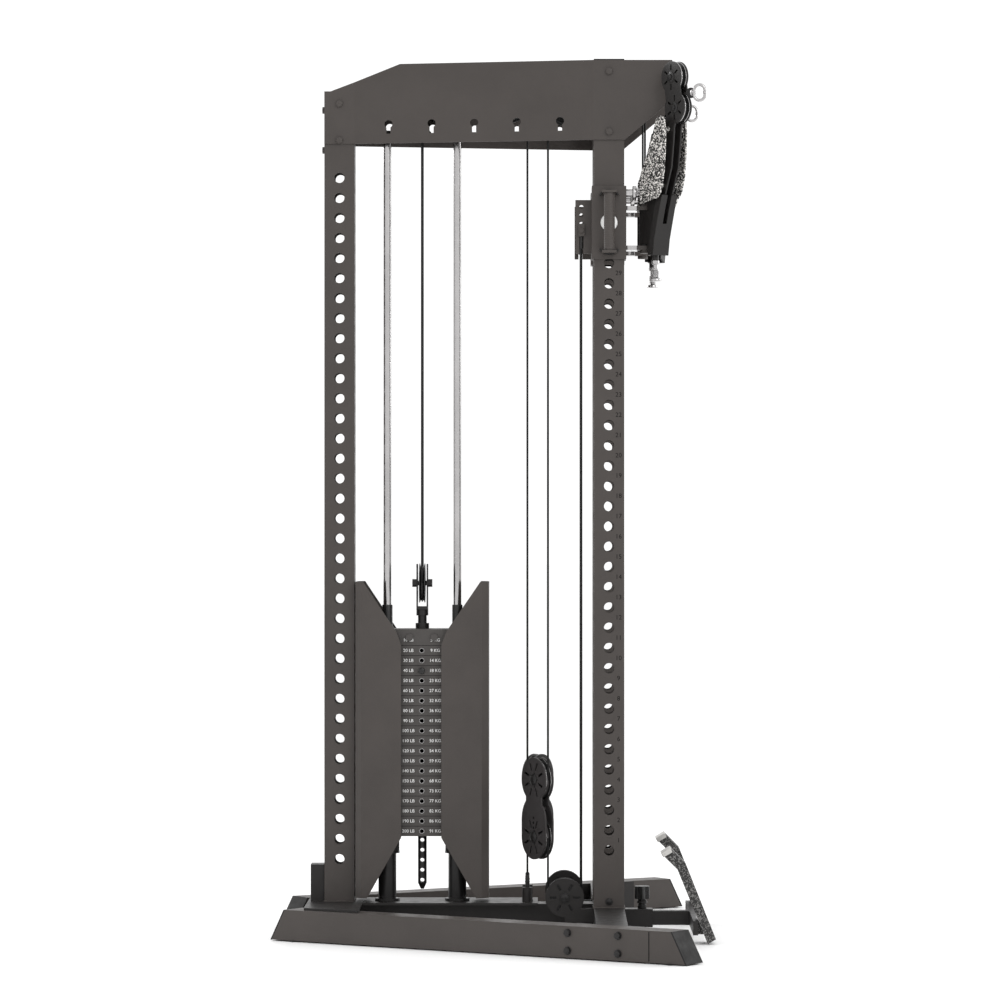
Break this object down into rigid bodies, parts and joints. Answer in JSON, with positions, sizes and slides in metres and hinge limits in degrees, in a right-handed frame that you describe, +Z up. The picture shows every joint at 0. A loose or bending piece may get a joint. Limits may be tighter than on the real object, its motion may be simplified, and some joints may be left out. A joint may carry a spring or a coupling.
{
  "type": "cable crossover machine",
  "caption": "Free-standing cable crossover with a central weight stack, two perforated front uprights, sliding trolleys with swivelling pulley arms, and splayed floor feet.",
  "frame": {"origin": "on the floor at the middle of the footprint's bounding box", "axes": "+Z up, the user's side faces -Y, left is -X, mirror plane X = 0"},
  "size_m": [1.672, 1.0932, 2.174],
  "materials": {
    "frame_paint": "satin powder coat, warm dark grey",
    "dark_paint": "satin powder coat, near black",
    "bright_steel": "polished chrome",
    "black_steel": "black oxide",
    "plate_steel": "fine black texture coat",
    "cable": "smooth nylon jacket",
    "black_plastic": "moulded black nylon",
    "rubber": "matte black rubber",
    "tread": "raised diamond grip texture"
  },
  "bodies": {
    "frame": {"base_frame": "dark_paint", "base_plates": "dark_paint", "cable_runs": "cable", "float_lower_strands_left": "cable", "float_lower_strands_right": "cable", "float_upper_strands_left": "cable", "float_upper_strands_right": "cable", "foot_left": "frame_paint", "foot_right": "frame_paint", "frame_bolts": "black_steel", "front_upright_left": "frame_paint", "front_upright_right": "frame_paint", "lower_weight_plates": "plate_steel", "pads_and_caps": "rubber", "rear_upright": "frame_paint", "rod_mounts": "black_steel", "rods_and_axles": "bright_steel", "stack_covers": "frame_paint", "stack_strands": "cable", "swivel_strand_left": "cable", "swivel_strand_right": "cable", "top_plate_left": "frame_paint", "top_plate_right": "frame_paint", "trolley_strand_left": "cable", "trolley_strand_right": "cable"},
    "stack": {"top_weight_plates": "plate_steel", "selector_stem": "black_steel"},
    "stack_pulley": {"stack_pulley": "black_plastic"},
    "selector_pin": {"selector_pin": "bright_steel"},
    "top_pulleys_swivel": {"top_pulleys_swivel": "black_plastic"},
    "top_pulleys_front": {"top_pulleys_front": "black_plastic"},
    "top_pulleys_middle": {"top_pulleys_middle": "black_plastic"},
    "top_pulleys_stack": {"top_pulleys_stack": "black_plastic"},
    "extension": {"extension_tube": "dark_paint", "foot_plates": "tread"},
    "extension_knob": {"extension_knob": "black_plastic"},
    "base_pulley_left": {"base_pulley_left": "black_plastic"},
    "float_left": {"float_frame_left": "dark_paint"},
    "float_pulley_upper_left": {"float_pulley_upper_left": "black_plastic"},
    "float_pulley_lower_left": {"float_pulley_lower_left": "black_plastic"},
    "trolley_left": {"trolley_left": "frame_paint"},
    "lock_pin_left": {"lock_pin_left": "bright_steel"},
    "arm_left": {"arm_frame_left": "dark_paint", "arm_cheeks_left": "tread"},
    "arm_pulley_left": {"arm_pulley_left": "black_plastic"},
    "arm_roller_lower_left": {"arm_roller_lower_left": "black_plastic"},
    "arm_roller_upper_left": {"arm_roller_upper_left": "black_plastic"},
    "hook_left": {"snap_hook_left": "bright_steel"},
    "base_pulley_right": {"base_pulley_right": "black_plastic"},
    "float_right": {"float_frame_right": "dark_paint"},
    "float_pulley_upper_right": {"float_pulley_upper_right": "black_plastic"},
    "float_pulley_lower_right": {"float_pulley_lower_right": "black_plastic"},
    "trolley_right": {"trolley_right": "frame_paint"},
    "lock_pin_right": {"lock_pin_right": "bright_steel"},
    "arm_right": {"arm_frame_right": "dark_paint", "arm_cheeks_right": "tread"},
    "arm_pulley_right": {"arm_pulley_right": "black_plastic"},
    "arm_roller_lower_right": {"arm_roller_lower_right": "black_plastic"},
    "arm_roller_upper_right": {"arm_roller_upper_right": "black_plastic"},
    "hook_right": {"snap_hook_right": "bright_steel"}
  },
  "joints": [
    {"name": "stack_lift", "type": "slide", "parent": "frame", "child": "stack", "axis": [0, 0, 1], "range_m": [0, 0.9], "deforming": ["stack_strands"]},
    {"name": "selector_pin_pull", "type": "slide", "parent": "stack", "child": "selector_pin", "axis": [-1, 0, 0], "range_m": [0, 0.08]},
    {"name": "stack_pulley_spin", "type": "hinge", "parent": "stack", "child": "stack_pulley", "pos_m": [0, 0.177, 0.878], "axis": [0, 1, 0], "continuous": true},
    {"name": "top_pulleys_swivel_spin", "type": "hinge", "parent": "frame", "child": "top_pulleys_swivel", "pos_m": [0, -0.3345, 2.082], "axis": [1, 0, 0], "continuous": true},
    {"name": "top_pulleys_front_spin", "type": "hinge", "parent": "frame", "child": "top_pulleys_front", "pos_m": [0, -0.1804, 2.082], "axis": [1, 0, 0], "continuous": true},
    {"name": "top_pulleys_middle_spin", "type": "hinge", "parent": "frame", "child": "top_pulleys_middle", "pos_m": [0, -0.043, 2.082], "axis": [1, 0, 0], "continuous": true},
    {"name": "top_pulleys_stack_spin", "type": "hinge", "parent": "frame", "child": "top_pulleys_stack", "pos_m": [0, 0.134, 2.082], "axis": [1, 0, 0], "continuous": true},
    {"name": "foot_plate_slide", "type": "slide", "parent": "frame", "child": "extension", "axis": [0, -1, 0], "range_m": [0, 0.1]},
    {"name": "extension_knob_pull", "type": "slide", "parent": "frame", "child": "extension_knob", "axis": [0, 0, 1], "range_m": [0, 0.018], "stiffness_N_per_m": 400},
    {"name": "trolley_left_slide", "type": "slide", "parent": "frame", "child": "trolley_left", "axis": [0, 0, 1], "range_m": [-1.55, 0], "deforming": ["swivel_strand_left", "trolley_strand_left"]},
    {"name": "float_left_slide", "type": "slide", "parent": "frame", "child": "float_left", "axis": [0, 0, 1], "range_m": [0, 0.775], "deforming": ["float_upper_strands_left", "float_lower_strands_left"]},
    {"name": "lock_pin_left_pull", "type": "slide", "parent": "trolley_left", "child": "lock_pin_left", "axis": [0, -1, 0], "range_m": [-0.014, 0]},
    {"name": "swivel_left", "type": "hinge", "parent": "trolley_left", "child": "arm_left", "pos_m": [-0.125, -0.3775, 1.76], "axis": [0, 0, -1], "range_deg": [-4, 35]},
    {"name": "pull_left", "type": "slide", "parent": "arm_left", "child": "hook_left", "axis": [-0.8192, -0.5736, 0], "range_m": [0, 0.9]},
    {"name": "arm_pulley_left_spin", "type": "hinge", "parent": "arm_left", "child": "arm_pulley_left", "pos_m": [-0.15285, -0.397, 1.872], "axis": [0.5736, -0.8192, 0], "continuous": true},
    {"name": "arm_roller_lower_left_spin", "type": "hinge", "parent": "arm_left", "child": "arm_roller_lower_left", "pos_m": [-0.23804, -0.45665, 2.046], "axis": [0.5736, -0.8192, 0], "continuous": true},
    {"name": "arm_roller_upper_left_spin", "type": "hinge", "parent": "arm_left", "child": "arm_roller_upper_left", "pos_m": [-0.22657, -0.44862, 2.122], "axis": [0.5736, -0.8192, 0], "continuous": true},
    {"name": "float_pulley_upper_left_spin", "type": "hinge", "parent": "float_left", "child": "float_pulley_upper_left", "pos_m": [-0.08475, -0.1117, 0.391], "axis": [-0.5382, 0.8428, 0], "continuous": true},
    {"name": "float_pulley_lower_left_spin", "type": "hinge", "parent": "float_left", "child": "float_pulley_lower_left", "pos_m": [-0.08475, -0.1117, 0.248], "axis": [-0.5382, 0.8428, 0], "continuous": true},
    {"name": "base_pulley_left_spin", "type": "hinge", "parent": "frame", "child": "base_pulley_left", "pos_m": [-0.125, -0.1787, 0.1016], "axis": [1, 0, 0], "continuous": true},
    {"name": "trolley_right_slide", "type": "slide", "parent": "frame", "child": "trolley_right", "axis": [0, 0, 1], "range_m": [-1.55, 0], "deforming": ["swivel_strand_right", "trolley_strand_right"]},
    {"name": "float_right_slide", "type": "slide", "parent": "frame", "child": "float_right", "axis": [0, 0, 1], "range_m": [0, 0.775], "deforming": ["float_upper_strands_right", "float_lower_strands_right"]},
    {"name": "lock_pin_right_pull", "type": "slide", "parent": "trolley_right", "child": "lock_pin_right", "axis": [0, -1, 0], "range_m": [-0.014, 0]},
    {"name": "swivel_right", "type": "hinge", "parent": "trolley_right", "child": "arm_right", "pos_m": [0.125, -0.3775, 1.76], "axis": [0, 0, 1], "range_deg": [-4, 35]},
    {"name": "pull_right", "type": "slide", "parent": "arm_right", "child": "hook_right", "axis": [0.8192, -0.5736, 0], "range_m": [0, 0.9]},
    {"name": "arm_pulley_right_spin", "type": "hinge", "parent": "arm_right", "child": "arm_pulley_right", "pos_m": [0.15285, -0.397, 1.872], "axis": [0.5736, 0.8192, 0], "continuous": true},
    {"name": "arm_roller_lower_right_spin", "type": "hinge", "parent": "arm_right", "child": "arm_roller_lower_right", "pos_m": [0.23804, -0.45665, 2.046], "axis": [0.5736, 0.8192, 0], "continuous": true},
    {"name": "arm_roller_upper_right_spin", "type": "hinge", "parent": "arm_right", "child": "arm_roller_upper_right", "pos_m": [0.22657, -0.44862, 2.122], "axis": [0.5736, 0.8192, 0], "continuous": true},
    {"name": "float_pulley_upper_right_spin", "type": "hinge", "parent": "float_right", "child": "float_pulley_upper_right", "pos_m": [0.08475, -0.1117, 0.391], "axis": [0.5382, 0.8428, 0], "continuous": true},
    {"name": "float_pulley_lower_right_spin", "type": "hinge", "parent": "float_right", "child": "float_pulley_lower_right", "pos_m": [0.08475, -0.1117, 0.248], "axis": [0.5382, 0.8428, 0], "continuous": true},
    {"name": "base_pulley_right_spin", "type": "hinge", "parent": "frame", "child": "base_pulley_right", "pos_m": [0.125, -0.1787, 0.1016], "axis": [1, 0, 0], "continuous": true}
  ],
  "couplings": [
    {"joint": "float_left_slide", "follows": "trolley_left_slide", "ratio": -0.5},
    {"joint": "pull_left", "follows": "stack_lift", "ratio": 1},
    {"joint": "float_right_slide", "follows": "trolley_right_slide", "ratio": -0.5},
    {"joint": "pull_right", "follows": "stack_lift", "ratio": 1}
  ]
}
